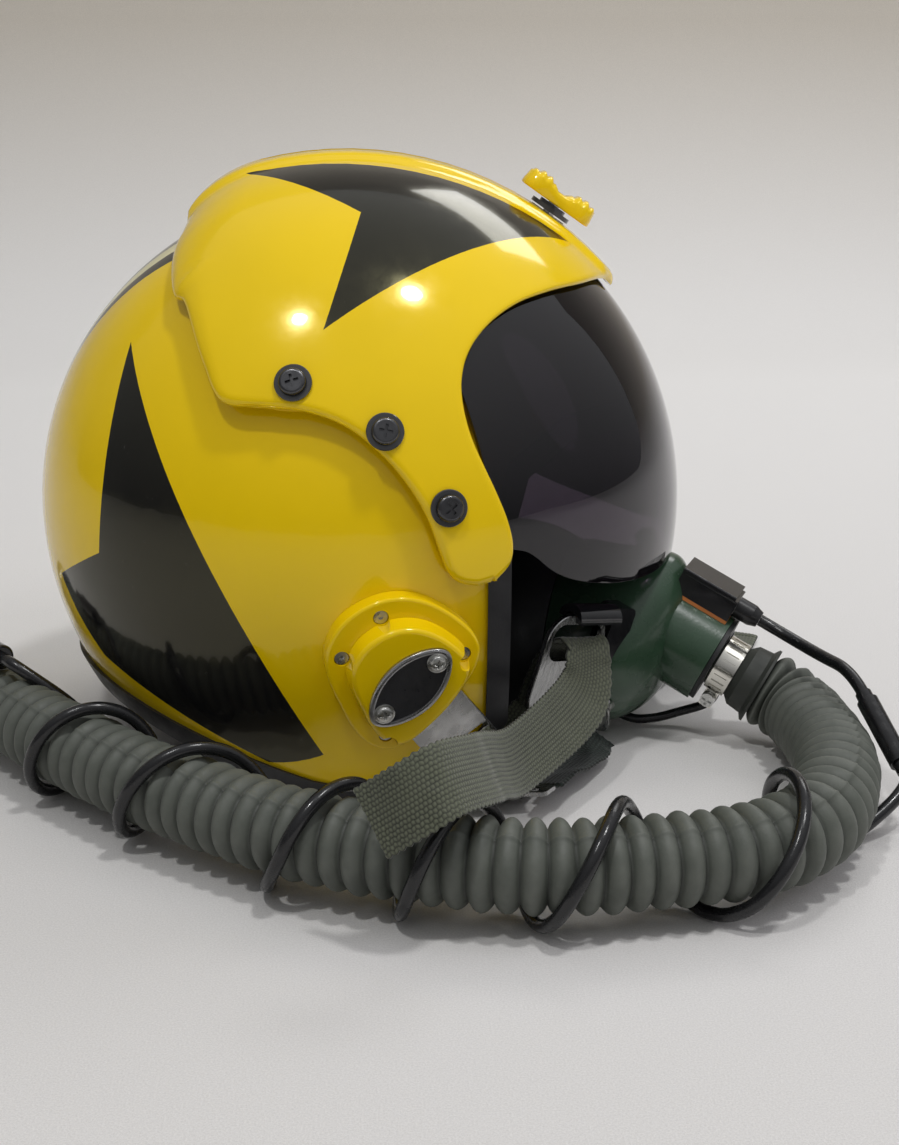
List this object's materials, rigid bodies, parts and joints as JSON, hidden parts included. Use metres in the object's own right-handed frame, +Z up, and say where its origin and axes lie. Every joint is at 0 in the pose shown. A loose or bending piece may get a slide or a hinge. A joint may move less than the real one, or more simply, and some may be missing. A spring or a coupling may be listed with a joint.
{
  "type": "pilot flight helmet",
  "caption": "Flight helmet with sliding visor under a housing, oxygen mask on straps, ribbed hose and wound cord",
  "frame": {"origin": "on the table, straight below the centre of the head, at the opening the head goes in through", "axes": "+X is the way the wearer faces, +Y is the wearer's left, +Z is up"},
  "size_m": [0.4245, 0.3604, 0.2437],
  "materials": {
    "shell_yellow": "gloss paint",
    "housing_yellow": "gloss paint",
    "receiver_yellow": "gloss paint",
    "edge_rubber": "satin",
    "foam": "matt",
    "leather": "soft satin",
    "earcup_plastic": "matt",
    "earphone_plastic": "matt",
    "screw_steel": "satin",
    "clear_washer": "gloss",
    "spacer_nylon": "matt",
    "lens_grey": "smoked gloss",
    "slide_black": "gloss",
    "stud_steel": "satin",
    "badge_metal": "satin",
    "plate_steel": "satin",
    "webbing": "woven",
    "dark_webbing": "woven",
    "mask_green": "satin",
    "face_rubber": "matt",
    "valve_plastic": "matt",
    "mic_plastic": "matt",
    "stripe_orange": "satin",
    "hose_rubber": "matt",
    "clamp_steel": "bright",
    "connector_metal": "satin",
    "cord_black": "satin"
  },
  "bodies": {
    "helmet": {"helmet_shell": "shell_yellow", "visor_housing": "housing_yellow", "receiver_base_right": "receiver_yellow", "receiver_base_left": "receiver_yellow", "receiver_cover_right": "receiver_yellow", "receiver_cover_left": "receiver_yellow", "edge_roll": "edge_rubber", "energy_liner": "foam", "earcup_spacers": "foam", "fitting_pads": "leather", "nape_pad": "leather", "ear_seals": "leather", "cheek_pads": "leather", "earcup_right": "earcup_plastic", "earcup_left": "earcup_plastic", "earphones": "earphone_plastic", "housing_screws": "screw_steel", "receiver_screws": "screw_steel", "badge_screws": "screw_steel", "clamp_screw": "screw_steel", "arm_studs": "screw_steel", "housing_washers": "clear_washer", "housing_spacers": "spacer_nylon", "mic_connector": "slide_black", "connector_boot": "slide_black", "mask_hooks": "slide_black", "badge_plate": "badge_metal", "receiver_tongue_right": "plate_steel", "receiver_tongue_left": "plate_steel", "mask_buckle_right": "plate_steel", "mask_buckle_left": "plate_steel", "lower_arms": "plate_steel", "strap_tab": "plate_steel", "strap_tail_right": "webbing", "strap_tail_left": "webbing", "strap_lead_right": "webbing", "strap_lead_left": "webbing", "lower_strap_right": "dark_webbing", "lower_strap_left": "dark_webbing", "mask_shell": "mask_green", "mask_faceform": "face_rubber", "port_gasket": "face_rubber", "valve_body": "valve_plastic", "mic": "mic_plastic", "connector_stripe": "stripe_orange", "hose_cuff": "hose_rubber", "oxygen_hose": "hose_rubber", "hose_clamp": "clamp_steel", "hose_connector": "connector_metal", "comm_cord": "cord_black", "comm_winding": "cord_black", "mic_lead": "cord_black", "cord_splice": "cord_black", "comm_plug": "cord_black"},
    "visor": {"visor_lens": "lens_grey", "visor_slider": "slide_black", "visor_stud": "stud_steel", "knob_washer": "clear_washer"},
    "knob": {"visor_knob": "receiver_yellow"},
    "valve": {"valve_disc": "valve_plastic"}
  },
  "joints": [
    {"name": "visor_raise", "type": "hinge", "parent": "helmet", "child": "visor", "pos_m": [0, 0, 0.098], "axis": [0, -1, 0], "range_deg": [0, 45]},
    {"name": "visor_knob_turn", "type": "hinge", "parent": "visor", "child": "knob", "pos_m": [0.07967, 0, 0.21263], "axis": [0.5707, 0, 0.8211], "range_deg": [0, 90]},
    {"name": "valve_lift", "type": "slide", "parent": "helmet", "child": "valve", "axis": [-0.8211, 0.3656, 0.4384], "range_m": [0, 0.0025]}
  ]
}
